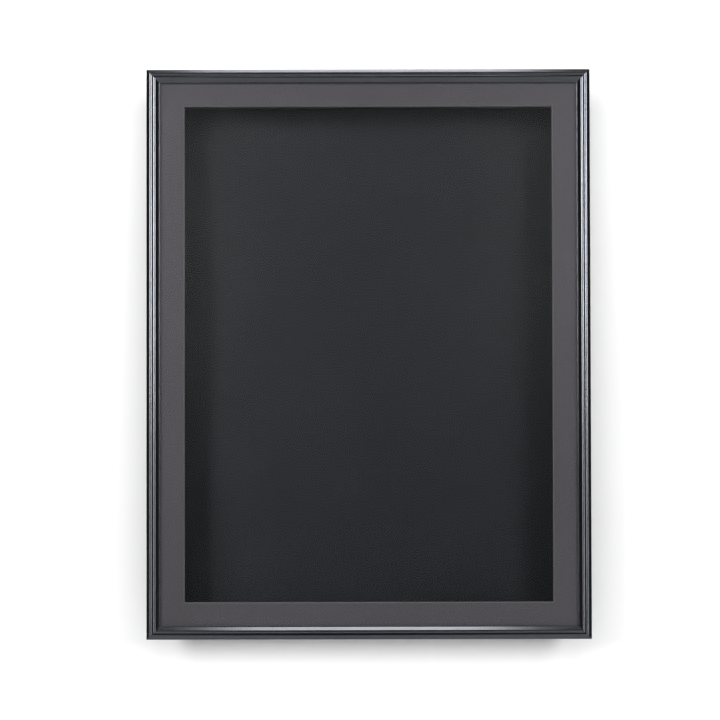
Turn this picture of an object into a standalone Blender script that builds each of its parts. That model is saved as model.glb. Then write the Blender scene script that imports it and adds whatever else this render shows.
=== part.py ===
"""Wall-hung shadow box with a hinged, glazed metal front.

Units are metres. X points right, Z points up and -Y points at the viewer. The wall is the plane
y = 0. "Reach" is the distance in front of the wall, so reach = -y. "Inset" is the distance inward
from a frame's outer edge.
"""

import math

import bmesh
import bpy
from mathutils import Vector

# Driving sizes.
GAP = 0.0003
WINDOW_WIDTH = 0.4455
WINDOW_HEIGHT = 0.600
DOOR_WIDTH = 0.537
DOOR_HEIGHT = 0.689
INTERIOR_WIDTH = 0.457
INTERIOR_HEIGHT = 0.610
WALL_THICKNESS = 0.016
CABINET_DEPTH = 0.056
DOOR_CLEARANCE = 0.003
DOOR_THICKNESS = 0.021

# Cabinet.
CABINET_WIDTH = INTERIOR_WIDTH + 2 * WALL_THICKNESS
CABINET_HEIGHT = INTERIOR_HEIGHT + 2 * WALL_THICKNESS
PANEL_THICKNESS = 0.006
RABBET_WIDTH = 0.010
RABBET_DEPTH = PANEL_THICKNESS + GAP
PANEL_INSET = WALL_THICKNESS - RABBET_WIDTH + GAP
TAPE_THICKNESS = 0.002
TAPE_WIDTH = 0.300
TAPE_HEIGHT = 0.025
TAPE_LEVEL = 0.200
BOARD_THICKNESS = 0.010
BOARD_MARGIN = 0.0008
CLOTH_THICKNESS = 0.0005
TAPE_REACH = RABBET_DEPTH
BOARD_REACH = TAPE_REACH + TAPE_THICKNESS + GAP
CLOTH_REACH = BOARD_REACH + BOARD_THICKNESS + GAP
SEAL_INSET = 0.010
SEAL_WIDTH = 0.0055
WALL_HOLE_RADIUS = 0.00225
WALL_HOLE_X = 0.150
WALL_HOLE_Z = 0.250

# Door, from its back face at DOOR_REACH.
DOOR_REACH = CABINET_DEPTH + DOOR_CLEARANCE
MOULDING_WIDTH = 0.016
MOULDING_WALL = 0.0016
CHANNEL_WIDTH = 0.012
CHANNEL_WALL = 0.0012
CHANNEL_DEPTH = 0.0058
CHANNEL_LIP = 0.002
SHEET_INSET = 0.002
MAT_REACH = DOOR_REACH + 0.0116
MAT_THICKNESS = 0.0014
GLAZING_REACH = MAT_REACH + MAT_THICKNESS + GAP
GLAZING_THICKNESS = 0.002
LIP_UNDERSIDE = GLAZING_REACH + GLAZING_THICKNESS + GAP
FLANK_WIDTH = 0.003
FLANK_ANGLES = (38, 30)
FLANK_STEPS = 4
BEAD_WIDTH = 0.0042
BEAD_HALF_ANGLE = 50
BEAD_STEPS = 8
STEP_ANGLE = 43
STEP_RADIUS = 0.0003
LIP_THICKNESS = 0.0014
LIP_FALL = 0.00005
LIP_EDGE_RADIUS = 0.0004
FILLET_STEPS = 3
BAR_INSET = 0.043
KEY_LEG = 0.038
KEY_THICKNESS = 0.0018
KEY_PLAY = 0.0004
KEY_SCREW_HEAD = 0.0006
KEY_SCREW_OFFSET = 0.026

# Hinge: rolled sheet leaves on one long pin, beside the cabinet's left edge.
HINGE_LENGTH = 0.600
HINGE_X = -(CABINET_WIDTH / 2 + 0.0035)
HINGE_REACH = CABINET_DEPTH
KNUCKLE_COUNT = 9
KNUCKLE_RADIUS = 0.00275
KNUCKLE_BORE = 0.00155
DOOR_ROLL = (90, 380)
CABINET_ROLL_END = -270
CABINET_BORE_END = 20
ROLL_STEPS = 16
PIN_RADIUS = 0.00125
PIN_OVERHANG = 0.002
LEAF_REACH = 0.012
LEAF_THICKNESS = 0.00095
LEAF_SCREW_X = 0.008
NOTCH_X = 0.0031
CABINET_LEAF_SCREW_SPAN = 0.510
DOOR_LEAF_SCREW_SPAN = 0.450
LEAF_SCREWS = 4

# Magnetic catches on the right side.
CATCH_X = CABINET_WIDTH / 2 - 0.0048
CATCH_Z = 0.230
MAGNET_RADIUS = 0.004
MAGNET_LENGTH = 0.0095
MAGNET_PROUD = 0.0015
STRIKE_WIDTH = 0.0096
STRIKE_HEIGHT = 0.034
STRIKE_THICKNESS = 0.0008
STRIKE_SCREW_OFFSET = 0.011

# Screws: head radius, shank radius, length.
HINGE_SCREW = (0.0024, 0.0011, 0.009)
CABINET_HINGE_SCREW = (0.0024, 0.0011, 0.014)
PANEL_SCREW = (0.0032, 0.0015, 0.022)
STRIKE_SCREW = (0.0022, 0.0010, 0.008)
KEY_SCREW = (0.0022, 0.0017, 0.0033)
PANEL_SCREW_INSET = 0.011
PANEL_SCREW_Z = 0.270
SCREW_SINK = 0.0001
SCREW_CLEARANCE = 0.0004
HEAD_EDGE = 0.0003
SCREW_SEGMENTS = 12
ROUND_SEGMENTS = 24
CUTTER_OVERSHOOT = 0.001
SMOOTH_ANGLE = math.radians(35)
EDGE_BEVEL = 0.0004

CABINET_SIZE = (CABINET_WIDTH, CABINET_HEIGHT)
DOOR_SIZE = (DOOR_WIDTH, DOOR_HEIGHT)
SIDES = ("left", "right", "top", "bottom")


def clear_scene():
    for obj in list(bpy.data.objects):
        bpy.data.objects.remove(obj, do_unlink=True)


def make_material(name, colour, roughness, metallic=0.0, alpha=1.0):
    material = bpy.data.materials.new(name)
    material.use_nodes = True
    shader = material.node_tree.nodes["Principled BSDF"]
    shader.inputs["Base Color"].default_value = (*colour, 1.0)
    shader.inputs["Roughness"].default_value = roughness
    shader.inputs["Metallic"].default_value = metallic
    shader.inputs["Alpha"].default_value = alpha
    return material


def make_door_pivot():
    """The empty on the hinge axis that carries every piece of the door."""
    pivot = bpy.data.objects.new("door_pivot", None)
    pivot.location = (HINGE_X, -HINGE_REACH, 0.0)
    bpy.context.scene.collection.objects.link(pivot)
    return pivot


def mesh_object(name, bm, material=None, pivot=None):
    """Turns a bmesh, drawn in world coordinates, into an object that hangs on the pivot if given."""
    bmesh.ops.recalc_face_normals(bm, faces=bm.faces)
    mesh = bpy.data.meshes.new(name)
    bm.to_mesh(mesh)
    bm.free()
    mesh.shade_smooth()
    mesh.set_sharp_from_angle(angle=SMOOTH_ANGLE)
    obj = bpy.data.objects.new(name, mesh)
    if material:
        mesh.materials.append(material)
    bpy.context.scene.collection.objects.link(obj)
    if pivot:
        obj.parent = pivot
        obj.location = -Vector(pivot.location)
    return obj


def make_cutter(name, bm, pivot=None):
    cutter = mesh_object(name, bm, pivot=pivot)
    cutter.hide_render = True
    cutter.display_type = "WIRE"
    return cutter


def cut(target, cutter):
    boolean = target.modifiers.new(cutter.name, "BOOLEAN")
    boolean.operation = "DIFFERENCE"
    boolean.solver = "EXACT"
    boolean.object = cutter


def soften_edges(obj):
    bevel = obj.modifiers.new("edge", "BEVEL")
    bevel.width = EDGE_BEVEL
    bevel.segments = 1
    bevel.limit_method = "ANGLE"


def add_loops(bm, loops, closed=False):
    """Joins equal rings of points with quads, and caps the first and the last unless closed."""
    rings = [[bm.verts.new(point) for point in loop] for loop in loops]
    pairs = list(zip(rings, rings[1:]))
    if closed:
        pairs.append((rings[-1], rings[0]))
    for near, far in pairs:
        for i in range(len(near)):
            j = (i + 1) % len(near)
            bm.faces.new((near[i], near[j], far[j], far[i]))
    if not closed:
        bm.faces.new(rings[0])
        bm.faces.new(list(reversed(rings[-1])))


def add_box(bm, x_range, reach_range, z_range):
    def corners(reach):
        return [
            (x_range[0], -reach, z_range[0]),
            (x_range[1], -reach, z_range[0]),
            (x_range[1], -reach, z_range[1]),
            (x_range[0], -reach, z_range[1]),
        ]

    add_loops(bm, [corners(reach) for reach in reach_range])


def add_turned(bm, profile, x, reach, z, direction, segments):
    """Adds a round solid on a line along Y. Profile points are (radius, depth from the reach)."""
    rings = []
    for radius, depth in profile:
        y = -reach + direction * depth
        if radius == 0:
            rings.append([bm.verts.new((x, y, z))])
            continue
        angles = [2 * math.pi * i / segments for i in range(segments)]
        rings.append([bm.verts.new((x + radius * math.cos(a), y, z + radius * math.sin(a))) for a in angles])
    for near, far in zip(rings, rings[1:]):
        for i in range(segments):
            j = (i + 1) % segments
            corners = [near[i % len(near)], near[j % len(near)], far[j % len(far)], far[i % len(far)]]
            bm.faces.new(list(dict.fromkeys(corners)))


def arc(centre, radius, start, end, steps):
    """Points of an arc from one angle to another, in degrees, in the (inset, reach) plane."""
    points = []
    for i in range(steps + 1):
        angle = math.radians(start + (end - start) * i / steps)
        points.append((centre[0] + radius * math.cos(angle), centre[1] + radius * math.sin(angle)))
    return points


def spread(count, span):
    """Evenly spaced places over a span about zero."""
    return [span * (i / (count - 1) - 0.5) for i in range(count)]


def placed(side, along, outward, reach):
    """A point of a frame's side: along it, outward from the frame's centre, in front of the wall."""
    return {
        "left": (-outward, -reach, along),
        "right": (outward, -reach, along),
        "top": (along, -reach, outward),
        "bottom": (along, -reach, -outward),
    }[side]


def mitred_rail(name, outline, size, side, material, pivot=None):
    """One side of a mitred frame, from an outline of (inset, reach) points."""
    upright = side in ("left", "right")
    length = size[1] if upright else size[0]
    span = size[0] if upright else size[1]
    bm = bmesh.new()
    ends = []
    for sign in (-1, 1):
        points = []
        for inset, reach in outline:
            along = sign * (length / 2 - inset - GAP)
            points.append(placed(side, along, span / 2 - inset, reach))
        ends.append(points)
    add_loops(bm, ends)
    return mesh_object(name, bm, material, pivot)


def rectangle(inset_range, reach_range):
    return [
        (inset_range[0], reach_range[0]),
        (inset_range[0], reach_range[1]),
        (inset_range[1], reach_range[1]),
        (inset_range[1], reach_range[0]),
    ]


def wall_outline():
    """Cabinet wall, with a rabbet for the back panel along its inner rear edge."""
    shoulder = WALL_THICKNESS - RABBET_WIDTH
    return [
        (0.0, 0.0),
        (0.0, CABINET_DEPTH),
        (WALL_THICKNESS, CABINET_DEPTH),
        (WALL_THICKNESS, RABBET_DEPTH),
        (shoulder, RABBET_DEPTH),
        (shoulder, 0.0),
    ]


def moulding_outline():
    """Extruded moulding: sloping flank, two beads, step and lip, over a slotted channel for the keys."""
    front = DOOR_REACH + DOOR_THICKNESS
    bead_radius = BEAD_WIDTH / 2 / math.sin(math.radians(BEAD_HALF_ANGLE))
    bead_centre = front - bead_radius
    quirk = bead_centre + bead_radius * math.cos(math.radians(BEAD_HALF_ANGLE))
    bead_insets = (FLANK_WIDTH + BEAD_WIDTH / 2, FLANK_WIDTH + BEAD_WIDTH + GAP + BEAD_WIDTH / 2)
    sines = [math.sin(math.radians(angle)) for angle in FLANK_ANGLES]
    flank_radius = FLANK_WIDTH / (sines[0] - sines[1])
    flank_centre = (
        FLANK_WIDTH + flank_radius * sines[1],
        quirk - flank_radius * math.cos(math.radians(FLANK_ANGLES[1])),
    )
    lip_reach = LIP_UNDERSIDE + LIP_THICKNESS
    step_inset = bead_insets[1] + BEAD_WIDTH / 2
    step_foot = step_inset + (quirk - lip_reach - STEP_RADIUS / 2) / math.tan(math.radians(STEP_ANGLE))
    step_centre = (step_foot + STEP_RADIUS, lip_reach + STEP_RADIUS)
    channel_floor = DOOR_REACH + CHANNEL_DEPTH
    inner_floor = channel_floor - CHANNEL_WALL
    lip_front = DOOR_REACH + CHANNEL_WALL
    channel_side = CHANNEL_WIDTH - CHANNEL_WALL
    outline = [(0.0, DOOR_REACH)]
    outline += arc(flank_centre, flank_radius, 90 + FLANK_ANGLES[0], 90 + FLANK_ANGLES[1], FLANK_STEPS)[:-1]
    for inset in bead_insets:
        bead_angles = (90 + BEAD_HALF_ANGLE, 90 - BEAD_HALF_ANGLE)
        outline += arc((inset, bead_centre), bead_radius, *bead_angles, BEAD_STEPS)
    outline += arc(step_centre, STEP_RADIUS, 180 + STEP_ANGLE, 270, FILLET_STEPS)
    lip_edge_centre = (MOULDING_WIDTH - LIP_EDGE_RADIUS, lip_reach - LIP_FALL - LIP_EDGE_RADIUS)
    outline += arc(lip_edge_centre, LIP_EDGE_RADIUS, 90, 0, FILLET_STEPS)
    outline += [
        (MOULDING_WIDTH, LIP_UNDERSIDE),
        (MOULDING_WALL, LIP_UNDERSIDE),
        (MOULDING_WALL, channel_floor),
        (CHANNEL_WIDTH, channel_floor),
        (CHANNEL_WIDTH, DOOR_REACH),
        (channel_side - CHANNEL_LIP, DOOR_REACH),
        (channel_side - CHANNEL_LIP, lip_front),
        (channel_side, lip_front),
        (channel_side, inner_floor),
        (MOULDING_WALL, inner_floor),
        (MOULDING_WALL, lip_front),
        (MOULDING_WALL + CHANNEL_LIP, lip_front),
        (MOULDING_WALL + CHANNEL_LIP, DOOR_REACH),
    ]
    return outline


def bar_outline():
    """Retaining bar: a tongue between the mat and the moulding's channel, and a body behind the mat."""
    tongue_back = DOOR_REACH + CHANNEL_DEPTH + GAP
    bar_front = MAT_REACH - GAP
    return [
        (SHEET_INSET, tongue_back),
        (SHEET_INSET, bar_front),
        (BAR_INSET, bar_front),
        (BAR_INSET, DOOR_REACH),
        (CHANNEL_WIDTH + GAP, DOOR_REACH),
        (CHANNEL_WIDTH + GAP, tongue_back),
    ]


def make_board(name, size, inset, reach, thickness, material, pivot=None):
    """A flat rectangular board, smaller than the given outer size by the inset on every side."""
    half_width = size[0] / 2 - inset
    half_height = size[1] / 2 - inset
    bm = bmesh.new()
    add_box(bm, (-half_width, half_width), (reach, reach + thickness), (-half_height, half_height))
    return mesh_object(name, bm, material, pivot)


def make_mat(material, pivot):
    """Mat board whose window is cut with a bevel that faces the viewer."""
    def corners(half_width, half_height, reach):
        return [
            (-half_width, -reach, -half_height),
            (half_width, -reach, -half_height),
            (half_width, -reach, half_height),
            (-half_width, -reach, half_height),
        ]

    front = MAT_REACH + MAT_THICKNESS
    outer = (DOOR_WIDTH / 2 - SHEET_INSET, DOOR_HEIGHT / 2 - SHEET_INSET)
    window = (WINDOW_WIDTH / 2, WINDOW_HEIGHT / 2)
    window_front = (window[0] + MAT_THICKNESS, window[1] + MAT_THICKNESS)
    loops = [
        corners(*outer, MAT_REACH),
        corners(*outer, front),
        corners(*window_front, front),
        corners(*window, MAT_REACH),
    ]
    bm = bmesh.new()
    add_loops(bm, loops, closed=True)
    return mesh_object("mat_board", bm, material, pivot)


def make_corner_key(name, x_sign, z_sign, material, pivot):
    """Flat L-shaped key that lies in the channels of two mouldings."""
    outer_x = DOOR_WIDTH / 2 - MOULDING_WALL - KEY_PLAY
    outer_z = DOOR_HEIGHT / 2 - MOULDING_WALL - KEY_PLAY
    width = CHANNEL_WIDTH - MOULDING_WALL - 2 * CHANNEL_WALL
    corner = [
        (outer_x, outer_z),
        (outer_x - KEY_LEG, outer_z),
        (outer_x - KEY_LEG, outer_z - width),
        (outer_x - width, outer_z - width),
        (outer_x - width, outer_z - KEY_LEG),
        (outer_x, outer_z - KEY_LEG),
    ]
    back = DOOR_REACH + CHANNEL_WALL + GAP
    loops = [[(x_sign * x, -reach, z_sign * z) for x, z in corner] for reach in (back, back + KEY_THICKNESS)]
    bm = bmesh.new()
    add_loops(bm, loops)
    return mesh_object(name, bm, material, pivot)


def screw_profile(size, clearance=0.0):
    """Countersunk wood screw, or with a clearance the hole that takes it."""
    head, shank, length = size
    cone_end = HEAD_EDGE + head - shank
    top = -CUTTER_OVERSHOOT if clearance else 0.0
    profile = [
        (0.0, top),
        (head + clearance, top),
        (head + clearance, HEAD_EDGE),
        (shank + clearance, cone_end),
    ]
    if clearance:
        profile += [(shank + clearance, length + clearance)]
    else:
        profile += [(shank, length - shank)]
    profile.append((0.0, length + clearance))
    return profile


def make_screws(prefix, size, places, reach, direction, material, pivot=None):
    """One screw at each (name, x, z) place, and the cutter for all their holes."""
    holes = bmesh.new()
    for name, x, z in places:
        bm = bmesh.new()
        add_turned(bm, screw_profile(size), x, reach, z, direction, SCREW_SEGMENTS)
        mesh_object(f"{prefix}_{name}", bm, material, pivot)
        add_turned(holes, screw_profile(size, SCREW_CLEARANCE), x, reach, z, direction, SCREW_SEGMENTS)
    return make_cutter(f"{prefix}_holes", holes, pivot)


def make_key_screws(material, pivot):
    """Pan-head screws that jack the corner keys against the mouldings' channel lips."""
    head, shank, length = KEY_SCREW
    back = DOOR_REACH + CHANNEL_WALL + GAP - SCREW_CLEARANCE
    middle = (CHANNEL_WIDTH - CHANNEL_WALL + MOULDING_WALL) / 2
    near_x = DOOR_WIDTH / 2 - middle
    near_z = DOOR_HEIGHT / 2 - middle
    far_x = DOOR_WIDTH / 2 - KEY_SCREW_OFFSET
    far_z = DOOR_HEIGHT / 2 - KEY_SCREW_OFFSET
    holes = bmesh.new()
    for z_name, z_sign in (("top", 1), ("bottom", -1)):
        for x_name, x_sign in (("left", -1), ("right", 1)):
            for leg, x, z in (("rail", far_x, near_z), ("stile", near_x, far_z)):
                profile = [
                    (0.0, -KEY_SCREW_HEAD),
                    (head, -KEY_SCREW_HEAD),
                    (head, 0.0),
                    (shank, 0.0),
                    (shank, length - SCREW_CLEARANCE),
                    (0.0, length - SCREW_CLEARANCE),
                ]
                bm = bmesh.new()
                place = (x_sign * x, back, z_sign * z, -1)
                add_turned(bm, profile, *place, SCREW_SEGMENTS)
                mesh_object(f"key_screw_{z_name}_{x_name}_{leg}", bm, material, pivot)
                hole = [
                    (0.0, -CUTTER_OVERSHOOT),
                    (shank + SCREW_CLEARANCE, -CUTTER_OVERSHOOT),
                    (shank + SCREW_CLEARANCE, length),
                    (0.0, length),
                ]
                add_turned(holes, hole, *place, SCREW_SEGMENTS)
    return make_cutter("key_screw_holes", holes, pivot)


def rolled_leaf(name, outline, skipped, material, pivot=None):
    """A hinge leaf: an outline about the pin, run the hinge's length, less the other leaf's knuckles."""
    bm = bmesh.new()
    half = HINGE_LENGTH / 2
    loops = [[(HINGE_X + x, -(HINGE_REACH + reach), z) for x, reach in outline] for z in (-half, half)]
    add_loops(bm, loops)
    leaf = mesh_object(name, bm, material, pivot)
    notches = bmesh.new()
    pitch = HINGE_LENGTH / KNUCKLE_COUNT
    for index in range(skipped, KNUCKLE_COUNT, 2):
        low = -half + index * pitch - GAP / 2
        high = low + pitch + GAP
        if index == 0:
            low -= CUTTER_OVERSHOOT
        if index == KNUCKLE_COUNT - 1:
            high += CUTTER_OVERSHOOT
        side = KNUCKLE_RADIUS + CUTTER_OVERSHOOT
        add_box(
            notches,
            (HINGE_X - side, HINGE_X + NOTCH_X),
            (HINGE_REACH - side, HINGE_REACH + side),
            (low, high),
        )
    cut(leaf, make_cutter(f"{name}_notches", notches, pivot))
    return leaf


def door_leaf_outline():
    """Sheet that leaves the knuckle on its front tangent and lies against the door's back."""
    outline = [(LEAF_REACH, KNUCKLE_RADIUS)]
    outline += arc((0.0, 0.0), KNUCKLE_RADIUS, *DOOR_ROLL, ROLL_STEPS)
    outline += arc((0.0, 0.0), KNUCKLE_BORE, *reversed(DOOR_ROLL), ROLL_STEPS)
    outline.append((LEAF_REACH, KNUCKLE_BORE))
    return outline


def cabinet_leaf_outline():
    """Offset sheet that lies on the cabinet's front edge and rolls round the pin from below."""
    back = GAP
    front = back + LEAF_THICKNESS
    meeting = math.degrees(math.asin(back / KNUCKLE_RADIUS))
    outline = [(LEAF_REACH, front), (LEAF_REACH, back)]
    outline += arc((0.0, 0.0), KNUCKLE_RADIUS, meeting, CABINET_ROLL_END, ROLL_STEPS)
    outline += arc((0.0, 0.0), KNUCKLE_BORE, CABINET_ROLL_END, CABINET_BORE_END, ROLL_STEPS)
    outline.append((KNUCKLE_BORE + GAP, front))
    return outline


def make_pin(material):
    """The hinge pin, along Z."""
    half = HINGE_LENGTH / 2 + PIN_OVERHANG
    loops = []
    for radius, z in (
        (PIN_RADIUS - GAP, -half),
        (PIN_RADIUS, -half + GAP),
        (PIN_RADIUS, half - GAP),
        (PIN_RADIUS - GAP, half),
    ):
        circle = arc((HINGE_X, HINGE_REACH), radius, 0, 360, ROUND_SEGMENTS)[:-1]
        loops.append([(x, -reach, z) for x, reach in circle])
    bm = bmesh.new()
    add_loops(bm, loops)
    return mesh_object("hinge_pin", bm, material)


def make_catches(magnet_material, strike_material, screw_material, wall, bar, pivot):
    """Magnets sunk in the cabinet's right edge, and the strike plates that they hold."""
    magnet_front = CABINET_DEPTH + MAGNET_PROUD
    magnet_profile = [(0.0, 0.0), (MAGNET_RADIUS, 0.0), (MAGNET_RADIUS, MAGNET_LENGTH), (0.0, MAGNET_LENGTH)]
    pocket_radius = MAGNET_RADIUS + GAP
    pocket_depth = MAGNET_LENGTH + GAP
    pocket_profile = [
        (0.0, -CUTTER_OVERSHOOT),
        (pocket_radius, -CUTTER_OVERSHOOT),
        (pocket_radius, pocket_depth),
        (0.0, pocket_depth),
    ]
    strike_reach = DOOR_REACH - GAP - STRIKE_THICKNESS
    pockets = bmesh.new()
    strikes = []
    screw_places = []
    for name, sign in (("upper", 1), ("lower", -1)):
        z = sign * CATCH_Z
        bm = bmesh.new()
        add_turned(bm, magnet_profile, CATCH_X, magnet_front, z, 1, ROUND_SEGMENTS)
        mesh_object(f"catch_magnet_{name}", bm, magnet_material)
        add_turned(pockets, pocket_profile, CATCH_X, magnet_front, z, 1, ROUND_SEGMENTS)
        bm = bmesh.new()
        add_box(
            bm,
            (CATCH_X - STRIKE_WIDTH / 2, CATCH_X + STRIKE_WIDTH / 2),
            (strike_reach, strike_reach + STRIKE_THICKNESS),
            (z - STRIKE_HEIGHT / 2, z + STRIKE_HEIGHT / 2),
        )
        strikes.append(mesh_object(f"strike_plate_{name}", bm, strike_material, pivot))
        screw_places.append((name, CATCH_X, z + sign * STRIKE_SCREW_OFFSET))
    cut(wall, make_cutter("magnet_pockets", pockets))
    screw_reach = strike_reach + SCREW_SINK
    holes = make_screws("strike_screw", STRIKE_SCREW, screw_places, screw_reach, -1, screw_material, pivot)
    for target in (*strikes, bar):
        cut(target, holes)


def make_wall_holes(panel):
    """Four through holes in the back panel, for the screws into the wall."""
    profile = [
        (0.0, -CUTTER_OVERSHOOT),
        (WALL_HOLE_RADIUS, -CUTTER_OVERSHOOT),
        (WALL_HOLE_RADIUS, PANEL_THICKNESS + CUTTER_OVERSHOOT),
        (0.0, PANEL_THICKNESS + CUTTER_OVERSHOOT),
    ]
    holes = bmesh.new()
    for x in (-WALL_HOLE_X, WALL_HOLE_X):
        for z in (-WALL_HOLE_Z, WALL_HOLE_Z):
            add_turned(holes, profile, x, 0.0, z, -1, ROUND_SEGMENTS)
    cut(panel, make_cutter("wall_screw_holes", holes))


def make_cabinet(looks):
    """Walls, back panel, display board with its cloth, and dust seal. Returns the walls."""
    walls = {}
    for side in SIDES:
        walls[side] = mitred_rail(f"wall_{side}", wall_outline(), CABINET_SIZE, side, looks["laminate"])
        seal_insets = (SEAL_INSET, SEAL_INSET + SEAL_WIDTH)
        seal_outline = rectangle(seal_insets, (CABINET_DEPTH + GAP, DOOR_REACH - GAP))
        mitred_rail(f"dust_seal_{side}", seal_outline, CABINET_SIZE, side, looks["foam"])

    panel = make_board("back_panel", CABINET_SIZE, PANEL_INSET, 0.0, PANEL_THICKNESS, looks["hardboard"])
    soften_edges(panel)
    make_wall_holes(panel)
    screw_x = CABINET_WIDTH / 2 - PANEL_SCREW_INSET
    heights = (("top", PANEL_SCREW_Z), ("middle", 0.0), ("bottom", -PANEL_SCREW_Z))
    screw_places = []
    for side, sign in (("left", -1), ("right", 1)):
        screw_places += [(f"{side}_{height}", sign * screw_x, z) for height, z in heights]
    holes = make_screws("panel_screw", PANEL_SCREW, screw_places, SCREW_SINK, -1, looks["zinc"])
    for target in (panel, walls["left"], walls["right"]):
        cut(target, holes)

    for name, level in (("upper", TAPE_LEVEL), ("lower", -TAPE_LEVEL)):
        bm = bmesh.new()
        add_box(
            bm,
            (-TAPE_WIDTH / 2, TAPE_WIDTH / 2),
            (TAPE_REACH, TAPE_REACH + TAPE_THICKNESS),
            (level - TAPE_HEIGHT / 2, level + TAPE_HEIGHT / 2),
        )
        mesh_object(f"hook_tape_{name}", bm, looks["tape"])
    inset = WALL_THICKNESS + BOARD_MARGIN
    board = make_board(
        "display_board", CABINET_SIZE, inset, BOARD_REACH, BOARD_THICKNESS, looks["fibreboard"]
    )
    soften_edges(board)
    make_board("display_cloth", CABINET_SIZE, inset, CLOTH_REACH, CLOTH_THICKNESS, looks["cloth"])
    return walls


def make_door(looks, pivot):
    """Mouldings, keys, retaining bars, mat and glazing. Returns the bars."""
    bars = {}
    for side in SIDES:
        mitred_rail(f"moulding_{side}", moulding_outline(), DOOR_SIZE, side, looks["anodised"], pivot)
        bars[side] = mitred_rail(f"retaining_bar_{side}", bar_outline(), DOOR_SIZE, side, looks["bar"], pivot)
    key_holes = make_key_screws(looks["zinc"], pivot)
    for z_name, z_sign in (("top", 1), ("bottom", -1)):
        for x_name, x_sign in (("left", -1), ("right", 1)):
            key = make_corner_key(f"corner_key_{z_name}_{x_name}", x_sign, z_sign, looks["zinc"], pivot)
            cut(key, key_holes)
    make_mat(looks["mat"], pivot)
    make_board(
        "glazing", DOOR_SIZE, SHEET_INSET, GLAZING_REACH, GLAZING_THICKNESS, looks["clear"], pivot
    )
    return bars


def make_hinge(looks, walls, bars, pivot):
    """Both leaves, the pin and the leaf screws."""
    cabinet_leaf = rolled_leaf("hinge_leaf_cabinet", cabinet_leaf_outline(), 1, looks["hinge"])
    door_leaf = rolled_leaf("hinge_leaf_door", door_leaf_outline(), 0, looks["hinge"], pivot)
    make_pin(looks["zinc"])
    x = HINGE_X + LEAF_SCREW_X
    places = [(str(i + 1), x, z) for i, z in enumerate(spread(LEAF_SCREWS, CABINET_LEAF_SCREW_SPAN))]
    reach = HINGE_REACH + GAP + LEAF_THICKNESS - SCREW_SINK
    holes = make_screws("hinge_screw_cabinet", CABINET_HINGE_SCREW, places, reach, 1, looks["zinc"])
    for target in (cabinet_leaf, walls["left"]):
        cut(target, holes)
    places = [(str(i + 1), x, z) for i, z in enumerate(spread(LEAF_SCREWS, DOOR_LEAF_SCREW_SPAN))]
    reach = HINGE_REACH + KNUCKLE_BORE + SCREW_SINK
    holes = make_screws("hinge_screw_door", HINGE_SCREW, places, reach, -1, looks["zinc"], pivot)
    for target in (door_leaf, bars["left"]):
        cut(target, holes)


def main():
    clear_scene()
    looks = {
        "anodised": make_material("black_anodised", (0.035, 0.036, 0.042), 0.34, metallic=0.85),
        "mat": make_material("charcoal_mat", (0.098, 0.093, 0.105), 0.92),
        "clear": make_material("clear_glazing", (0.95, 0.96, 0.96), 0.03, alpha=0.12),
        "laminate": make_material("black_laminate", (0.018, 0.019, 0.021), 0.55),
        "hardboard": make_material("hardboard", (0.12, 0.075, 0.045), 0.75),
        "fibreboard": make_material("fibreboard", (0.34, 0.27, 0.19), 0.85),
        "cloth": make_material("black_cloth", (0.028, 0.03, 0.034), 0.95),
        "tape": make_material("hook_tape", (0.02, 0.02, 0.02), 0.9),
        "foam": make_material("foam_seal", (0.03, 0.03, 0.03), 0.95),
        "bar": make_material("painted_bar", (0.022, 0.022, 0.024), 0.7),
        "hinge": make_material("hinge_steel", (0.04, 0.04, 0.042), 0.4, metallic=0.9),
        "zinc": make_material("zinc_steel", (0.55, 0.56, 0.58), 0.35, metallic=1.0),
        "nickel": make_material("nickel_magnet", (0.62, 0.61, 0.58), 0.25, metallic=1.0),
    }
    pivot = make_door_pivot()
    walls = make_cabinet(looks)
    bars = make_door(looks, pivot)
    make_hinge(looks, walls, bars, pivot)
    make_catches(looks["nickel"], looks["zinc"], looks["zinc"], walls["right"], bars["right"], pivot)


main()
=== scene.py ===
"""Looks of the wall-hung shadow box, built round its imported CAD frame.

Units are metres. X points right, Z points up and -Y points at the viewer. The wall is the plane
y = 0. "Reach" is the distance in front of the wall, so reach = -y. "Inset" is the distance inward
from an outer edge. Pieces are drawn in world coordinates, so their objects stay at the origin.
"""

import math

import bmesh
import bpy
from mathutils import Matrix, Vector, noise


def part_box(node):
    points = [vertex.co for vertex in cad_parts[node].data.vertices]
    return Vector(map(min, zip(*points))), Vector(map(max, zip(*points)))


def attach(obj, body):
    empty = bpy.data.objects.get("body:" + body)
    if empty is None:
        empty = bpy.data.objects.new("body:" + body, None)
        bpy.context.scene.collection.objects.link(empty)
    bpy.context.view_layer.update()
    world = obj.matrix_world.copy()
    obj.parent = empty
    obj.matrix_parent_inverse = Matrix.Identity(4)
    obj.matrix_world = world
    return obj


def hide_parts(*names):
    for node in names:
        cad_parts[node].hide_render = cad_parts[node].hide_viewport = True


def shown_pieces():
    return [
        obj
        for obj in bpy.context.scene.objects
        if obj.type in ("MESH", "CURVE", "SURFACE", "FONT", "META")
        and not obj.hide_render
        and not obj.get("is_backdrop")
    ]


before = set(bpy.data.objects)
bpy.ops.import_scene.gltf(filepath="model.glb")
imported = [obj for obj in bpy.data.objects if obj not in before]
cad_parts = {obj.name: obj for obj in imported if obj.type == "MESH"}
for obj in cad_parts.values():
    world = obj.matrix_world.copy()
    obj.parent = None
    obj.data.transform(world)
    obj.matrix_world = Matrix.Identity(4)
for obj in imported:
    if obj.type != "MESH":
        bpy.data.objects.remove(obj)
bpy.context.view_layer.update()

SIDES = ("left", "right", "top", "bottom")
SMOOTH_ANGLE = math.radians(35)
# Between pieces that lie on each other, and at the mitres.
GAP = 0.0003
HAIRLINE = 0.00004

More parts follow.
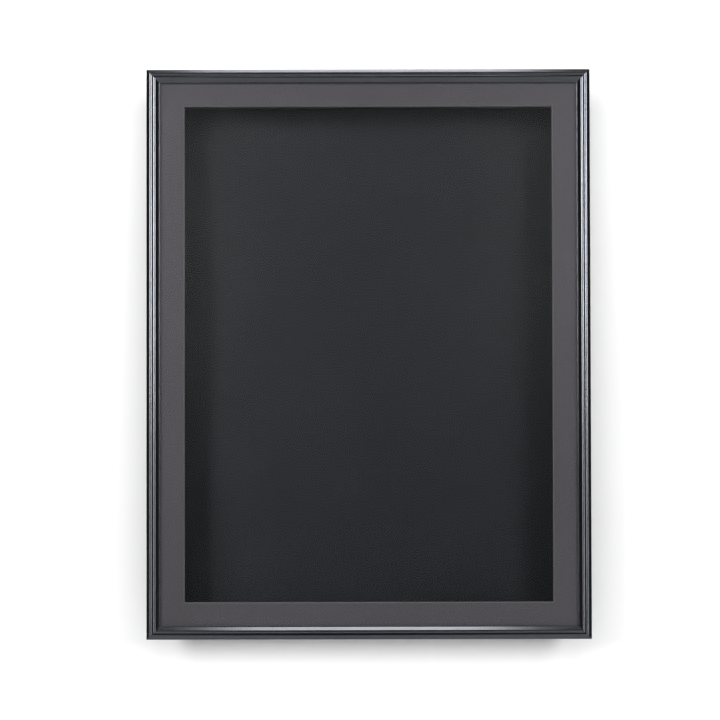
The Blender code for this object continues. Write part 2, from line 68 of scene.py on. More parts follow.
# Moulding: its profile from the outer edge inward.
FLANK_WIDTH = 0.003
FLANK_ANGLES = (38, 30)
BEAD_WIDTH = 0.0042
BEAD_HALF_ANGLE = 50
STEP_ANGLE = 43
STEP_RADIUS = 0.0003
LIP_THICKNESS = 0.0014
LIP_FALL = 0.00005
LIP_EDGE_RADIUS = 0.0004
MOULDING_WALL = 0.0016
CHANNEL_WIDTH = 0.012
CHANNEL_WALL = 0.0012
CHANNEL_DEPTH = 0.0058
CHANNEL_LIP = 0.002
BEAD_STEPS = 20
FLANK_STEPS = 8

# Small radii on the wooden and foam pieces.
WALL_EDGE = 0.0006
BAR_EDGE = 0.0009
SEAL_EDGE = 0.0011
GLAZING_EDGE = 0.0003
PLATE_EDGE = 0.00025
CORNER_STEPS = 4

# Cloth: how far it turns back over the board's edges, and its slight unevenness.
CLOTH_TURN = 0.0095
CLOTH_ROUND = 0.0006
CLOTH_STEP = 0.011
CLOTH_SWELL = 0.00012
SWELLS_PER_METRE = 14.0
SWELL_OCTAVES = 3

# Hinge: one pin, and short knuckles that alternate between the leaves.
KNUCKLES = 48
KNUCKLE_RADIUS = 0.00275
KNUCKLE_BORE = 0.00155
LEAF_THICKNESS = 0.00095
LEAF_STEPS = 24
NOTCH_X = 0.0031
DOOR_ROLL = (90, 380)
CABINET_ROLL_END = -270
CABINET_BORE_END = 20

# Screws: shank radii in head radii, and a pan head's height in screw lengths.
SCREW_SEGMENTS = 40
SCREW_TURN = 0.9
PANEL_SHANK = 0.47
SMALL_SHANK = 0.46
KEY_SHANK = 0.77
KEY_PAN = 0.17
TIP_SHARE = 0.2
RIM_SHARE = 0.04
RIM_FOOT = 0.12
PAN_FALL = 0.35
PAN_RINGS = (0.3, 0.55, 0.75, 0.9)

# The cross recess: its depth in head radii, and (length, width) of its arms outside and at its floor.
RECESS_DEPTH = 0.55
RECESS_START = 0.3
RECESS_MOUTH = (0.744, 0.18)
RECESS_FLOOR = (0.341, 0.12)


# ---------------------------------------------------------------- sizes read from the frame


def joined_box(nodes):
    """Lowest and highest corner of several CAD nodes together."""
    boxes = [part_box(node) for node in nodes]
    low = Vector([min(box[0][axis] for box in boxes) for axis in range(3)])
    high = Vector([max(box[1][axis] for box in boxes) for axis in range(3)])
    return low, high


def frame_of(prefix):
    """(outer size, reach range) of a four-sided frame of CAD nodes."""
    low, high = joined_box([f"{prefix}_{side}" for side in SIDES])
    return (high.x - low.x, high.z - low.z), (-high.y, -low.y)


def reach_of(node):
    low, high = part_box(node)
    return -high.y, -low.y


DOOR_SIZE, (DOOR_REACH, FRONT_REACH) = frame_of("moulding")
CABINET_SIZE, CABINET_REACH = frame_of("wall")
MOULDING_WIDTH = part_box("moulding_left")[1].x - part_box("moulding_left")[0].x
WALL_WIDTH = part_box("wall_left")[1].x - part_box("wall_left")[0].x
GLAZING_REACH = reach_of("glazing")
MAT_REACH = reach_of("mat_board")


# ---------------------------------------------------------------- mesh helpers


def add_loops(bm, loops, closed=False):
    """Joins equal rings of points with quads, and caps the first and the last unless closed."""
    rings = [[bm.verts.new(point) for point in loop] for loop in loops]
    pairs = list(zip(rings, rings[1:]))
    if closed:
        pairs.append((rings[-1], rings[0]))
    for near, far in pairs:
        for i in range(len(near)):
            j = (i + 1) % len(near)
            bm.faces.new((near[i], near[j], far[j], far[i]))
    if not closed:
        bm.faces.new(rings[0])
        bm.faces.new(list(reversed(rings[-1])))


def mesh_object(name, bm, material):
    bmesh.ops.recalc_face_normals(bm, faces=bm.faces)
    mesh = bpy.data.meshes.new(name)
    bm.to_mesh(mesh)
    bm.free()
    mesh.materials.append(material)
    obj = bpy.data.objects.new(name, mesh)
    bpy.context.scene.collection.objects.link(obj)
    return obj


def cut(target, cutter):
    """Cuts the cutter's shape out of the target for good, and removes the cutter."""
    boolean = target.modifiers.new("cut", "BOOLEAN")
    boolean.object = cutter
    boolean.solver = "EXACT"
    bpy.context.view_layer.update()
    evaluated = target.evaluated_get(bpy.context.evaluated_depsgraph_get())
    mesh = bpy.data.meshes.new_from_object(evaluated)
    target.modifiers.clear()
    target.data = mesh
    bpy.data.objects.remove(cutter)


def finish_piece(obj, body, slot, *nodes):
    """Smooth shading with crisp edges, then the piece's body and the CAD nodes it stands for. The slot
    argument is not used.
    """
    obj.data.shade_smooth()
    obj.data.set_sharp_from_angle(angle=SMOOTH_ANGLE)
    weighted = obj.modifiers.new("weighted", "WEIGHTED_NORMAL")
    weighted.keep_sharp = True
    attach(obj, body)
    if nodes:
        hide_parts(*nodes)


def arc(centre, radius, start, end, steps):
    """Points of an arc from one angle to another, in degrees, in the (inset, reach) plane."""
    points = []
    for i in range(steps + 1):
        angle = math.radians(start + (end - start) * i / steps)
        points.append((centre[0] + radius * math.cos(angle), centre[1] + radius * math.sin(angle)))
    return points


def rounded(points, radius):
    """A closed outline with every corner turned into a short curve that starts a radius from it."""
    outline = []
    for i, point in enumerate(points):
        corner = Vector(point)
        before = corner + (Vector(points[i - 1]) - corner).normalized() * radius
        after = corner + (Vector(points[(i + 1) % len(points)]) - corner).normalized() * radius
        for step in range(CORNER_STEPS + 1):
            t = step / CORNER_STEPS
            outline.append(tuple(before * (1 - t) ** 2 + corner * 2 * t * (1 - t) + after * t ** 2))
    return outline


def placed(side, along, outward, reach):
    """A point of a frame's side: along it, outward from the frame's centre, in front of the wall."""
    return {
        "left": (-outward, -reach, along),
        "right": (outward, -reach, along),
        "top": (along, -reach, outward),
        "bottom": (along, -reach, -outward),
    }[side]


def mitred_rail(name, outline, size, side, material):
    """One side of a mitred frame, from an outline of (inset, reach) points."""
    upright = side in ("left", "right")
    length = size[1] if upright else size[0]
    span = size[0] if upright else size[1]
    bm = bmesh.new()
    ends = []
    for sign in (-1, 1):
        points = []
        for inset, reach in outline:
            along = sign * (length / 2 - inset - HAIRLINE)
            points.append(placed(side, along, span / 2 - inset, reach))
        ends.append(points)
    add_loops(bm, ends)
    return mesh_object(name, bm, material)


def rectangle(half_width, half_height, reach):
    return [
        (-half_width, -reach, -half_height),
        (half_width, -reach, -half_height),
        (half_width, -reach, half_height),
        (-half_width, -reach, half_height),
    ]


def turned(name, profile, segments, material):
    """A round solid about Y. Profile points are (radius, depth behind the front), axis to axis."""
    bm = bmesh.new()
    rings = []
    for radius, depth in profile:
        if radius == 0:
            rings.append([bm.verts.new((0.0, depth, 0.0))])
            continue
        angles = [2 * math.pi * i / segments for i in range(segments)]
        rings.append([bm.verts.new((radius * math.cos(a), depth, radius * math.sin(a))) for a in angles])
    for near, far in zip(rings, rings[1:]):
        for i in range(segments):
            j = (i + 1) % segments
            corners = [near[i % len(near)], near[j % len(near)], far[j % len(far)], far[i % len(far)]]
            bm.faces.new(list(dict.fromkeys(corners)))
    return mesh_object(name, bm, material)


# ---------------------------------------------------------------- material helpers


def add_node(tree, kind, inputs, output=0, **settings):
    """Adds a node, links or sets its inputs, and returns one of its outputs."""
    node = tree.nodes.new(kind)
    for name, value in settings.items():
        setattr(node, name, value)
    for name, value in inputs.items():
        if isinstance(value, bpy.types.NodeSocket):
            tree.links.new(value, node.inputs[name])
        else:
            node.inputs[name].default_value = value
    return node.outputs[output]


def grain(tree, scale, stretch=(1.0, 1.0, 1.0), detail=4.0):
    """Smooth noise in the piece's own coordinates, with about that many grains to the metre."""
    place = add_node(tree, "ShaderNodeTexCoord", {}, output="Object")
    place = add_node(tree, "ShaderNodeMapping", {"Vector": place, "Scale": stretch})
    return add_node(tree, "ShaderNodeTexNoise", {"Vector": place, "Scale": scale, "Detail": detail})


def cells(tree, pitch, feature="F1"):
    """Distance from the nearest of many scattered points, about a pitch apart."""
    place = add_node(tree, "ShaderNodeTexCoord", {}, output="Object")
    inputs = {"Vector": place, "Scale": 1 / pitch}
    return add_node(tree, "ShaderNodeTexVoronoi", inputs, output="Distance", feature=feature)


def threads(tree, pitch, direction):
    """Waves a pitch apart, across X or Z."""
    place = add_node(tree, "ShaderNodeTexCoord", {}, output="Object")
    inputs = {"Vector": place, "Scale": math.pi / 10 / pitch}
    return add_node(tree, "ShaderNodeTexWave", inputs, bands_direction=direction)


def multiply(tree, first, second):
    return add_node(tree, "ShaderNodeMath", {0: first, 1: second}, operation="MULTIPLY")


def levels(tree, value, low, high, start=0.3, end=0.7):
    """Turns a value that runs from start to end into one that runs from low to high."""
    inputs = {"Value": value, "From Min": start, "From Max": end, "To Min": low, "To Max": high}
    return add_node(tree, "ShaderNodeMapRange", inputs)


def tones(tree, value, dark, light, start=0.3, end=0.7):
    """The dark colour where the value is at its start, the light one at its end."""
    ramp = tree.nodes.new("ShaderNodeValToRGB")
    for element, place, colour in zip(ramp.color_ramp.elements, (start, end), (dark, light)):
        element.position = place
        element.color = (*colour, 1.0)
    tree.links.new(value, ramp.inputs["Fac"])
    return ramp.outputs["Color"]


def bump(tree, height, distance, strength=1.0, under=None):
    inputs = {"Height": height, "Distance": distance, "Strength": strength}
    if under:
        inputs["Normal"] = under
    return add_node(tree, "ShaderNodeBump", inputs)


def new_material(name, make_inputs):
    """A material whose shader takes the inputs that make_inputs builds in its node tree."""
    material = bpy.data.materials.new(name)
    material.use_nodes = True
    tree = material.node_tree
    shader = tree.nodes["Principled BSDF"]
    for socket, value in make_inputs(tree).items():
        if isinstance(value, bpy.types.NodeSocket):
            tree.links.new(value, shader.inputs[socket])
        else:
            shader.inputs[socket].default_value = value
    return material


# ---------------------------------------------------------------- materials


def anodised(upright):
    """Satin black anodised aluminium, with faint extrusion lines along the rail."""
    along = (1.0, 1.0, 0.02) if upright else (0.02, 1.0, 1.0)

    def inputs(tree):
        lines = grain(tree, 3500.0, along, detail=2.0)
        clouds = grain(tree, 14.0)
        colour = tones(tree, clouds, (0.112, 0.116, 0.130), (0.128, 0.132, 0.147))
        etched = bump(tree, grain(tree, 5200.0, detail=2.0), 0.000001)
        return {
            "Base Color": colour,
            "Metallic": 1.0,
            "Roughness": levels(tree, lines, 0.16, 0.21),
            "Normal": bump(tree, lines, 0.00000025, under=etched),
        }

    return inputs


def mat_face(tree):
    """Charcoal mat board: a fibrous paper face with pale flecks."""
    fibres = grain(tree, 900.0, (1.0, 1.0, 0.45), detail=6.0)
    clouds = grain(tree, 9.0, detail=3.0)
    base = tones(tree, clouds, (0.0465, 0.0440, 0.0495), (0.0510, 0.0482, 0.0540))
    flecks = levels(tree, fibres, 0.0, 0.35, start=0.52, end=0.72)
    inputs = {0: flecks, 6: base, 7: (0.067, 0.064, 0.070, 1.0)}
    return {
        "Base Color": add_node(tree, "ShaderNodeMix", inputs, output=2, data_type="RGBA"),
        "Roughness": levels(tree, fibres, 0.86, 0.96),
        "Specular IOR Level": 0.25,
        "Normal": bump(tree, fibres, 0.00004),
    }


def mat_core(tree):
    """Cut core of the mat board, a little lighter than its face."""
    pulp = grain(tree, 1600.0, detail=5.0)
    return {
        "Base Color": tones(tree, pulp, (0.072, 0.070, 0.076), (0.090, 0.087, 0.094)),
        "Roughness": levels(tree, pulp, 0.90, 0.98),
        "Specular IOR Level": 0.2,
        "Normal": bump(tree, pulp, 0.00005),
    }


def black_cloth(tree):
    """Fine plain-woven black cloth with a soft nap."""
    weave = multiply(tree, threads(tree, 0.0006, "X"), threads(tree, 0.0006, "Z"))
    clouds = grain(tree, 11.0, detail=5.0)
    nap = grain(tree, 700.0, detail=4.0)
    lint = bump(tree, nap, 0.00010, strength=0.7)
    return {
        "Base Color": tones(tree, clouds, (0.0036, 0.0041, 0.0053), (0.0047, 0.0052, 0.0066)),
        "Roughness": levels(tree, nap, 0.28, 0.33),
        "Specular IOR Level": 0.105,
        "Specular Tint": (0.88, 0.94, 1.0, 1.0),
        "Normal": bump(tree, weave, 0.00008, under=lint),
    }


def laminate(tree):
    """Matt black laminate with a fine embossed grain."""
    pores = grain(tree, 900.0, (1.0, 1.0, 0.12), detail=5.0)
    clouds = grain(tree, 30.0)
    return {
        "Base Color": tones(tree, clouds, (0.0150, 0.0158, 0.0175), (0.0200, 0.0210, 0.0230)),
        "Roughness": levels(tree, pores, 0.46, 0.62),
        "Normal": bump(tree, pores, 0.00003),
    }


def hardboard(tree):
    """Brown pressed hardboard with matted fibres."""
    fibres = grain(tree, 420.0, (1.0, 1.0, 0.5), detail=8.0)
    clouds = grain(tree, 12.0)
    base = tones(tree, clouds, (0.105, 0.060, 0.033), (0.145, 0.088, 0.050))
    shade = tones(tree, fibres, (0.60, 0.56, 0.52), (1.0, 1.0, 1.0))
    inputs = {0: 1.0, 6: base, 7: shade}
    colour = add_node(tree, "ShaderNodeMix", inputs, output=2, data_type="RGBA", blend_type="MULTIPLY")
    return {
        "Base Color": colour,
        "Roughness": levels(tree, fibres, 0.55, 0.78),
        "Normal": bump(tree, fibres, 0.00008),
    }


def fibreboard(tree):
    """Soft pale fibreboard."""
    fibres = grain(tree, 650.0, detail=8.0)
    return {
        "Base Color": tones(tree, fibres, (0.26, 0.20, 0.135), (0.40, 0.32, 0.23)),
        "Roughness": levels(tree, fibres, 0.82, 0.95),
        "Normal": bump(tree, fibres, 0.00018),
    }


def painted_bar(tree):
    """Black paint brushed over close-grained wood."""
    strokes = grain(tree, 700.0, (1.0, 1.0, 0.06), detail=4.0)
    clouds = grain(tree, 25.0)
    return {
        "Base Color": tones(tree, clouds, (0.017, 0.017, 0.019), (0.027, 0.027, 0.030)),
        "Roughness": levels(tree, strokes, 0.55, 0.75),
        "Normal": bump(tree, strokes, 0.00005),
    }


def foam_seal(tree):
    """Closed-cell black foam with open pores on its skin, coloured darker inside the pores as painted shade.
    """
    pores = cells(tree, 0.0006)
    return {
        # Darker towards each pore's centre: painted shade in the pores' hollows.
        "Base Color": tones(tree, pores, (0.018, 0.018, 0.019), (0.038, 0.038, 0.040), 0.0, 0.6),
        "Roughness": levels(tree, pores, 0.98, 0.88),
        "Specular IOR Level": 0.2,
        "Normal": bump(tree, pores, 0.00015),
    }


def hook_tape(tree):
    """Black tape covered in rows of small hooks, coloured darker between the hooks than on them as painted
    shade.
    """
    hooks = cells(tree, 0.0011, feature="SMOOTH_F1")
    return {
        # Lighter on the hooks and darker between them: painted shade down between the hooks.
        "Base Color": tones(tree, hooks, (0.040, 0.040, 0.042), (0.010, 0.010, 0.011), 0.1, 0.6),
        "Roughness": levels(tree, hooks, 0.6, 0.95),
        "Normal": bump(tree, hooks, 0.00045),
    }


def hinge_steel(tree):
    """Black-coated steel, slightly orange-peeled and rubbed paler in places."""
    peel = grain(tree, 850.0, detail=3.0)
    rubbed = grain(tree, 60.0, (1.0, 1.0, 0.2), detail=6.0)
    return {
        "Base Color": tones(tree, rubbed, (0.045, 0.046, 0.049), (0.095, 0.096, 0.100), 0.45, 0.75),
        "Metallic": 0.9,
        "Roughness": levels(tree, rubbed, 0.42, 0.30),
        "Normal": bump(tree, peel, 0.00002),
    }


def zinc_steel(tree):
    """Bright zinc plate with a faint bluish and yellowish bloom."""
    bloom = grain(tree, 130.0, detail=3.0)
    dull = grain(tree, 900.0, detail=4.0)
    return {
        "Base Color": tones(tree, bloom, (0.50, 0.53, 0.58), (0.64, 0.62, 0.57)),
        "Metallic": 1.0,
        "Roughness": levels(tree, dull, 0.24, 0.42),
        "Normal": bump(tree, dull, 0.00001),
    }


def nickel(tree):
    """Polished nickel plate with fine handling marks."""
    marks = grain(tree, 600.0, (1.0, 1.0, 0.1), detail=5.0)
    return {
        "Base Color": tones(tree, marks, (0.58, 0.56, 0.52), (0.70, 0.68, 0.64)),
        "Metallic": 1.0,
        "Roughness": levels(tree, marks, 0.12, 0.26),
        "Normal": bump(tree, marks, 0.000004),
    }


def clear_glazing(tree):
    """Clear anti-reflection acrylic sheet with the faintest haze."""
    haze = grain(tree, 40.0, detail=2.0)
    return {
        "Base Color": tones(tree, haze, (0.975, 0.980, 0.980), (0.985, 0.990, 0.990)),
        "Roughness": 0.0,
        "IOR": 1.02,
        "Transmission Weight": 1.0,
        "Coat Weight": 1.0,
        "Coat Roughness": 0.2,
        "Coat IOR": 1.19,
    }


LOOKS = {
    "black_anodised_upright": anodised(True),
    "black_anodised_level": anodised(False),
    "charcoal_mat": mat_face,
    "mat_core": mat_core,
    "clear_glazing": clear_glazing,
    "black_laminate": laminate,
    "hardboard": hardboard,
    "fibreboard": fibreboard,
    "black_cloth": black_cloth,
    "hook_tape": hook_tape,
    "foam_seal": foam_seal,
    "painted_bar": painted_bar,
    "hinge_steel": hinge_steel,
    "zinc_steel": zinc_steel,
    "nickel_magnet": nickel,
}
materials = {name: new_material(name, make_inputs) for name, make_inputs in LOOKS.items()}


def let_light_through(material):
    """Glass that is clear to shadow and diffuse rays, so that lamps light what is behind it once."""
    tree = material.node_tree
    seen = tree.nodes["Principled BSDF"].outputs["BSDF"]
    for ray in ("Is Shadow Ray", "Is Diffuse Ray"):
        passed = add_node(tree, "ShaderNodeLightPath", {}, output=ray)
        clear = add_node(tree, "ShaderNodeBsdfTransparent", {})
        seen = add_node(tree, "ShaderNodeMixShader", {0: passed, 1: seen, 2: clear})
    tree.links.new(seen, tree.nodes["Material Output"].inputs["Surface"])


let_light_through(materials["clear_glazing"])


# ---------------------------------------------------------------- door


def moulding_outline():
    """Extruded moulding: sloping flank, two beads, step and lip, over a slotted channel for the keys."""
    bead_radius = BEAD_WIDTH / 2 / math.sin(math.radians(BEAD_HALF_ANGLE))
    bead_centre = FRONT_REACH - bead_radius
    quirk = bead_centre + bead_radius * math.cos(math.radians(BEAD_HALF_ANGLE))
    bead_insets = (FLANK_WIDTH + BEAD_WIDTH / 2, FLANK_WIDTH + BEAD_WIDTH + GAP + BEAD_WIDTH / 2)
    sines = [math.sin(math.radians(angle)) for angle in FLANK_ANGLES]
    flank_radius = FLANK_WIDTH / (sines[0] - sines[1])
    flank_centre = (
        FLANK_WIDTH + flank_radius * sines[1],
        quirk - flank_radius * math.cos(math.radians(FLANK_ANGLES[1])),
    )
    lip_underside = GLAZING_REACH[1] + GAP
    lip_reach = lip_underside + LIP_THICKNESS
    step_inset = bead_insets[1] + BEAD_WIDTH / 2
    step_foot = step_inset + (quirk - lip_reach - STEP_RADIUS / 2) / math.tan(math.radians(STEP_ANGLE))
    step_centre = (step_foot + STEP_RADIUS, lip_reach + STEP_RADIUS)
    channel_floor = DOOR_REACH + CHANNEL_DEPTH
    inner_floor = channel_floor - CHANNEL_WALL
    lip_front = DOOR_REACH + CHANNEL_WALL
    channel_side = CHANNEL_WIDTH - CHANNEL_WALL
    flank_angles = [90 + angle for angle in FLANK_ANGLES]
    bead_angles = (90 + BEAD_HALF_ANGLE, 90 - BEAD_HALF_ANGLE)
    outline = [(0.0, DOOR_REACH)]
    outline += arc(flank_centre, flank_radius, *flank_angles, FLANK_STEPS)[:-1]
    for inset in bead_insets:
        outline += arc((inset, bead_centre), bead_radius, *bead_angles, BEAD_STEPS)
    outline += arc(step_centre, STEP_RADIUS, 180 + STEP_ANGLE, 270, FLANK_STEPS)
    lip_edge_centre = (MOULDING_WIDTH - LIP_EDGE_RADIUS, lip_reach - LIP_FALL - LIP_EDGE_RADIUS)
    outline += arc(lip_edge_centre, LIP_EDGE_RADIUS, 90, 0, CORNER_STEPS)
    outline += [
        (MOULDING_WIDTH, lip_underside),
        (MOULDING_WALL, lip_underside),
        (MOULDING_WALL, channel_floor),
        (CHANNEL_WIDTH, channel_floor),
        (CHANNEL_WIDTH, DOOR_REACH),
        (channel_side - CHANNEL_LIP, DOOR_REACH),
        (channel_side - CHANNEL_LIP, lip_front),
        (channel_side, lip_front),
        (channel_side, inner_floor),
        (MOULDING_WALL, inner_floor),
        (MOULDING_WALL, lip_front),
        (MOULDING_WALL + CHANNEL_LIP, lip_front),
        (MOULDING_WALL + CHANNEL_LIP, DOOR_REACH),
    ]
    return outline


def make_mouldings():
    outline = moulding_outline()
    for side in SIDES:
        upright = side in ("left", "right")
        look = materials["black_anodised_upright" if upright else "black_anodised_level"]
        rail = mitred_rail(f"finished_moulding_{side}", outline, DOOR_SIZE, side, look)
        finish_piece(rail, "door", "black_anodised", f"moulding_{side}")


def make_retaining_bars():
    """Painted wooden bars behind the mat, with their edges rubbed round."""
    low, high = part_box("retaining_bar_left")
    tongue_inset = low.x + DOOR_SIZE[0] / 2
    bar_inset = high.x + DOOR_SIZE[0] / 2
    back, front = reach_of("retaining_bar_left")
    tongue_back = DOOR_REACH + CHANNEL_DEPTH + GAP
    corners = [
        (tongue_inset, tongue_back),
        (tongue_inset, front),
        (bar_inset, front),
        (bar_inset, back),
        (CHANNEL_WIDTH + GAP, back),
        (CHANNEL_WIDTH + GAP, tongue_back),
    ]
    outline = rounded(corners, BAR_EDGE)
    for side in SIDES:
        bar = mitred_rail(f"finished_bar_{side}", outline, DOOR_SIZE, side, materials["painted_bar"])
        finish_piece(bar, "door", "painted_bar", f"retaining_bar_{side}")


def make_mat():
    """Mat board whose window is cut with a bevel that shows the core."""
    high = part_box("mat_board")[1]
    back, front = MAT_REACH
    points = [vert.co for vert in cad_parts["mat_board"].data.vertices]
    corner = min(point.x for point in points if point.x > 0)
    rise = min(point.z for point in points if point.z > 0)
    front_corner = corner + front - back
    front_rise = rise + front - back
    edge = PLATE_EDGE / 2
    loops = [
        rectangle(high.x - edge, high.z - edge, back),
        rectangle(high.x, high.z, back + edge),
        rectangle(high.x, high.z, front - edge),
        rectangle(high.x - edge, high.z - edge, front),
        rectangle(front_corner, front_rise, front),
        rectangle(corner, rise, back),
    ]
    bm = bmesh.new()
    add_loops(bm, loops, closed=True)
    mat = mesh_object("finished_mat", bm, materials["charcoal_mat"])
    mat.data.materials.append(materials["mat_core"])
    for face in mat.data.polygons:
        if abs(face.center.x) < front_corner and abs(face.center.z) < front_rise:
            face.material_index = 1
    finish_piece(mat, "door", "charcoal_mat", "mat_board")


def make_glazing():
    """Clear sheet with eased edges."""
    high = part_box("glazing")[1]
    back, front = GLAZING_REACH
    loops = [
        rectangle(high.x - GLAZING_EDGE, high.z - GLAZING_EDGE, back),
        rectangle(high.x, high.z, back + GLAZING_EDGE),
        rectangle(high.x, high.z, front - GLAZING_EDGE),
        rectangle(high.x - GLAZING_EDGE, high.z - GLAZING_EDGE, front),
    ]
    bm = bmesh.new()
    add_loops(bm, loops)
    sheet = mesh_object("finished_glazing", bm, materials["clear_glazing"])
    finish_piece(sheet, "door", "clear_glazing", "glazing")


# ---------------------------------------------------------------- cabinet


def round_cutter(x, z, radius, reach_range, segments=48):
    """A round bar along Y, to cut a pocket with."""
    depth = reach_range[1] - reach_range[0]
    profile = [(0.0, 0.0), (radius, 0.0), (radius, depth), (0.0, depth)]
    cutter = turned("cutter", profile, segments, materials["black_laminate"])
    cutter.location = (x, -reach_range[1], z)
    return cutter


def make_walls():
    """Laminated cabinet walls with eased edges, and pockets for the magnets."""
    panel_low, panel_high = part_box("back_panel")
    shoulder = CABINET_SIZE[0] / 2 - panel_high.x - GAP
    rabbet = -panel_low.y + GAP
    corners = [
        (0.0, 0.0),
        (0.0, CABINET_REACH[1]),
        (WALL_WIDTH, CABINET_REACH[1]),
        (WALL_WIDTH, rabbet),
        (shoulder, rabbet),
        (shoulder, 0.0),
    ]
    outline = rounded(corners, WALL_EDGE)
    for side in SIDES:
        wall = mitred_rail(f"finished_wall_{side}", outline, CABINET_SIZE, side, materials["black_laminate"])
        if side == "right":
            for node in ("catch_magnet_upper", "catch_magnet_lower"):
                low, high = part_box(node)
                middle = (low + high) / 2
                radius = (high.x - low.x) / 2 + GAP
                cut(wall, round_cutter(middle.x, middle.z, radius, (-high.y, -low.y + GAP)))
        finish_piece(wall, "cabinet", "black_laminate", f"wall_{side}")


def make_seals():
    """Foam strips with a rounded front, along the cabinet's front edge."""
    low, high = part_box("dust_seal_left")
    insets = (low.x + CABINET_SIZE[0] / 2, high.x + CABINET_SIZE[0] / 2)
    back, front = reach_of("dust_seal_left")
    corners = [(insets[0], back), (insets[0], front), (insets[1], front), (insets[1], back)]
    outline = rounded(corners, SEAL_EDGE)
    for side in SIDES:
        seal = mitred_rail(f"finished_seal_{side}", outline, CABINET_SIZE, side, materials["foam_seal"])
        finish_piece(seal, "cabinet", "foam_seal", f"dust_seal_{side}")


def swell(x, z):
    """Slight unevenness of the stretched cloth."""
    place = Vector((x, 0.0, z)) * SWELLS_PER_METRE
    return CLOTH_SWELL * noise.fractal(place, 1.0, 2.0, SWELL_OCTAVES)


def make_cloth():
    """Cloth stretched over the display board and turned back along its edges."""
    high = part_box("display_cloth")[1]
    back, front = reach_of("display_cloth")
    thickness = front - back
    half = (high.x - CLOTH_ROUND + thickness, high.z - CLOTH_ROUND + thickness)
    counts = [round(2 * size / CLOTH_STEP) for size in half]
    bm = bmesh.new()
    bmesh.ops.create_grid(bm, x_segments=counts[0], y_segments=counts[1], size=1.0)
    for vert in bm.verts:
        x = vert.co.x * half[0]
        z = vert.co.y * half[1]
        vert.co = (x, -front + (0.0 if vert.is_boundary else swell(x, z)), z)
    path = arc((0.0, -CLOTH_ROUND), CLOTH_ROUND, 90, 0, CORNER_STEPS)
    path.append((CLOTH_ROUND, -CLOTH_TURN))
    rim = [edge for edge in bm.edges if edge.is_boundary]
    for near, far in zip(path, path[1:]):
        made = bmesh.ops.extrude_edge_only(bm, edges=rim)["geom"]
        outward = far[0] - near[0]
        backward = near[1] - far[1]
        for vert in [item for item in made if isinstance(item, bmesh.types.BMVert)]:
            for axis, size in ((0, half[0]), (2, half[1])):
                if abs(vert.co[axis]) > size - CLOTH_ROUND / 10:
                    vert.co[axis] += math.copysign(outward, vert.co[axis])
            vert.co.y += backward
        rim = [item for item in made if isinstance(item, bmesh.types.BMEdge) and item.is_boundary]
    cloth = mesh_object("finished_cloth", bm, materials["black_cloth"])
    solid = cloth.modifiers.new("thickness", "SOLIDIFY")
    solid.thickness = thickness
    solid.offset = -1.0
    finish_piece(cloth, "cabinet", "black_cloth", "display_cloth")


# ---------------------------------------------------------------- hinge and screws


def make_leaf(name, outline, skipped, body):
    """A hinge leaf: an outline about the pin, run the hinge's length, less the other leaf's knuckles."""
    low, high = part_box(f"hinge_leaf_{name}")
    pin_low, pin_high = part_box("hinge_pin")
    axis = (pin_low + pin_high) / 2
    bm = bmesh.new()
    loops = [[(axis.x + x, axis.y - reach, z) for x, reach in outline] for z in (low.z, high.z)]
    add_loops(bm, loops)
    leaf = mesh_object(f"finished_hinge_leaf_{name}", bm, materials["hinge_steel"])
    notches = bmesh.new()
    pitch = (high.z - low.z) / KNUCKLES
    side = KNUCKLE_RADIUS * 1.5
    section = [(-side, -side), (NOTCH_X, -side), (NOTCH_X, side), (-side, side)]
    for index in range(skipped, KNUCKLES, 2):
        start = low.z + index * pitch - (side if index == 0 else GAP / 2)
        end = low.z + (index + 1) * pitch + (side if index == KNUCKLES - 1 else GAP / 2)
        add_loops(notches, [[(axis.x + x, axis.y + y, z) for x, y in section] for z in (start, end)])
    cut(leaf, mesh_object("notches", notches, materials["hinge_steel"]))
    finish_piece(leaf, body, "hinge_steel", f"hinge_leaf_{name}")


def make_leaves():
    """Both leaves: sheets that run from their screws to the pin and roll round it."""
    pin_low, pin_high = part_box("hinge_pin")
    leaf_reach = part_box("hinge_leaf_door")[1].x - (pin_low.x + pin_high.x) / 2
    door_outline = [(leaf_reach, KNUCKLE_RADIUS)]
    door_outline += arc((0.0, 0.0), KNUCKLE_RADIUS, *DOOR_ROLL, LEAF_STEPS)
    door_outline += arc((0.0, 0.0), KNUCKLE_BORE, *reversed(DOOR_ROLL), LEAF_STEPS)
    door_outline.append((leaf_reach, KNUCKLE_BORE))
    leaf_front = GAP + LEAF_THICKNESS
    meeting = math.degrees(math.asin(GAP / KNUCKLE_RADIUS))
    cabinet_outline = [(leaf_reach, leaf_front), (leaf_reach, GAP)]
    cabinet_outline += arc((0.0, 0.0), KNUCKLE_RADIUS, meeting, CABINET_ROLL_END, LEAF_STEPS)
    cabinet_outline += arc((0.0, 0.0), KNUCKLE_BORE, CABINET_ROLL_END, CABINET_BORE_END, LEAF_STEPS)
    cabinet_outline.append((KNUCKLE_BORE + GAP, leaf_front))
    make_leaf("cabinet", cabinet_outline, 1, "cabinet")
    make_leaf("door", door_outline, 0, "door")


def make_pin():
    """The hinge pin, with rounded ends."""
    low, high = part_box("hinge_pin")
    radius = (high.x - low.x) / 2
    centre = (low + high) / 2
    end = [(0.3, 0.0), (0.1, 0.1), (0.0, 0.3)]
    stations = [(shrink, low.z + radius * depth) for shrink, depth in end]
    stations += [(shrink, high.z - radius * depth) for shrink, depth in reversed(end)]
    loops = []
    for shrink, z in stations:
        circle = arc((0.0, 0.0), radius * (1 - shrink), 0, 360, 2 * LEAF_STEPS)[:-1]
        loops.append([(centre.x + x, centre.y + y, z) for x, y in circle])
    bm = bmesh.new()
    add_loops(bm, loops)
    pin = mesh_object("finished_hinge_pin", bm, materials["zinc_steel"])
    finish_piece(pin, "cabinet", "zinc_steel", "hinge_pin")


